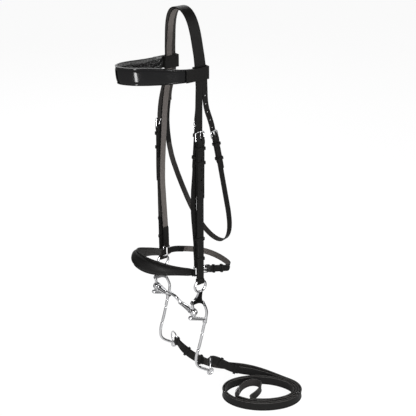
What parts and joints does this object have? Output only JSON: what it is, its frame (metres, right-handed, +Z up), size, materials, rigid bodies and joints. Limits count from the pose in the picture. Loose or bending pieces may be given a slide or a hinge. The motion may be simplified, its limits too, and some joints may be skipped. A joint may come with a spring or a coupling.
{
  "type": "horse bridle",
  "caption": "Leather horse bridle with a raised browband, padded noseband, throatlatch, coiled reins and a shanked curb bit with a sliding ported mouthpiece.",
  "frame": {"origin": "middle of the underside of the headpiece straps, where the bridle rests on the horse's poll", "axes": "+X towards the horse's neck (the horse faces -X), +Y towards the horse's right (far) side, +Z up; the near side with the reins and buckles is -Y"},
  "size_m": [0.3063, 0.3439, 0.838],
  "materials": {
    "bridle_leather": "satin, edge dyed, fine stitching",
    "patent_leather": "high gloss patent",
    "padded_leather": "satin, padded and crowned",
    "steel": "polished"
  },
  "bodies": {
    "headstall": {"crownpiece": "bridle_leather", "browband": "patent_leather", "browband_loop_near": "bridle_leather", "browband_loop_far": "bridle_leather", "cheekpiece_near": "bridle_leather", "cheekpiece_far": "bridle_leather", "cheek_buckle_near": "steel", "cheek_buckle_far": "steel", "cheek_keepers_near": "bridle_leather", "cheek_keepers_far": "bridle_leather", "bit_keepers_near": "bridle_leather", "bit_keepers_far": "bridle_leather", "bit_stud_near": "steel", "bit_stud_far": "steel", "noseband_ring_near": "steel", "noseband_ring_far": "steel", "cavesson_headstrap": "bridle_leather", "cavesson_cheek": "bridle_leather", "cavesson_buckle": "steel", "cavesson_keepers": "bridle_leather", "noseband_front": "padded_leather", "noseband_rear": "bridle_leather", "noseband_billet": "bridle_leather", "noseband_buckle": "steel", "noseband_keepers": "bridle_leather", "throatlatch": "bridle_leather", "throat_buckle": "steel", "throat_keepers": "bridle_leather", "rein_run_near": "bridle_leather", "rein_run_far": "bridle_leather", "rein_coil": "bridle_leather", "rein_buckle": "steel"},
    "near_bit_cheek": {"bit_cheek_near": "steel", "shank_near": "steel", "rein_end_near": "bridle_leather", "rein_keepers_near": "bridle_leather"},
    "near_cannon": {"cannon_near": "steel"},
    "near_rein_ring": {"rein_ring_near": "steel"},
    "far_bit_cheek": {"bit_cheek_far": "steel", "shank_far": "steel", "rein_end_far": "bridle_leather", "rein_keepers_far": "bridle_leather"},
    "far_cannon": {"cannon_far": "steel"},
    "far_rein_ring": {"rein_ring_far": "steel"},
    "port": {"port_link": "steel"},
    "cheek_tongue_near": {"cheek_tongue_near": "steel"},
    "cheek_tongue_far": {"cheek_tongue_far": "steel"},
    "cavesson_tongue": {"cavesson_tongue": "steel"},
    "throat_tongue": {"throat_tongue": "steel"},
    "noseband_tongue": {"noseband_tongue": "steel"},
    "rein_tongue": {"rein_tongue": "steel"}
  },
  "joints": [
    {"name": "near_cheek_swing", "type": "hinge", "parent": "headstall", "child": "near_bit_cheek", "pos_m": [-0.008, -0.072, -0.581], "axis": [0, 1, 0], "range_deg": [-30, 0], "deforming": ["rein_run_near"]},
    {"name": "far_cheek_swing", "type": "hinge", "parent": "headstall", "child": "far_bit_cheek", "pos_m": [-0.008, 0.072, -0.581], "axis": [0, 1, 0], "range_deg": [-30, 0], "deforming": ["rein_run_far"]},
    {"name": "near_cannon_slide", "type": "slide", "parent": "near_bit_cheek", "child": "near_cannon", "axis": [-0.1455, 0, 0.9894], "range_m": [0, 0.01]},
    {"name": "far_cannon_slide", "type": "slide", "parent": "far_bit_cheek", "child": "far_cannon", "axis": [-0.1455, 0, 0.9894], "range_m": [0, 0.01]},
    {"name": "port_tilt", "type": "hinge", "parent": "near_cannon", "child": "port", "pos_m": [-0.02557, -0.027, -0.63966], "axis": [0, 1, 0], "range_deg": [-20, 20]},
    {"name": "near_rein_ring_swing", "type": "hinge", "parent": "near_bit_cheek", "child": "near_rein_ring", "pos_m": [0.019, -0.072, -0.809], "axis": [0.5878, 0.809, 0], "range_deg": [-4, 4]},
    {"name": "far_rein_ring_swing", "type": "hinge", "parent": "far_bit_cheek", "child": "far_rein_ring", "pos_m": [0.019, 0.072, -0.809], "axis": [0.1392, 0.9903, 0], "range_deg": [-4, 4]},
    {"name": "cheek_tongue_near_lift", "type": "hinge", "parent": "headstall", "child": "cheek_tongue_near", "pos_m": [0.0005, -0.0605, -0.256], "axis": [1, 0, 0], "range_deg": [0, 12]},
    {"name": "cheek_tongue_far_lift", "type": "hinge", "parent": "headstall", "child": "cheek_tongue_far", "pos_m": [-0.015, 0.0605, -0.256], "axis": [-1, 0, 0], "range_deg": [0, 12]},
    {"name": "cavesson_tongue_lift", "type": "hinge", "parent": "headstall", "child": "cavesson_tongue", "pos_m": [0.003, -0.049, -0.232], "axis": [0.9976, 0, -0.0699], "range_deg": [0, 8]},
    {"name": "throat_tongue_lift", "type": "hinge", "parent": "headstall", "child": "throat_tongue", "pos_m": [0.0385, -0.06, -0.257], "axis": [0.9787, 0, 0.2055], "range_deg": [0, 12]},
    {"name": "noseband_tongue_lift", "type": "hinge", "parent": "headstall", "child": "noseband_tongue", "pos_m": [0.0235, -0.0595, -0.554], "axis": [0.2631, 0, 0.9648], "range_deg": [0, 12]},
    {"name": "rein_tongue_lift", "type": "hinge", "parent": "headstall", "child": "rein_tongue", "pos_m": [0.02, -0.166, -0.8192], "axis": [0, 0, 1], "range_deg": [0, 12]}
  ],
  "couplings": [
    {"joint": "far_cheek_swing", "follows": "near_cheek_swing", "ratio": 1},
    {"joint": "far_cannon_slide", "follows": "near_cannon_slide", "ratio": 1}
  ]
}
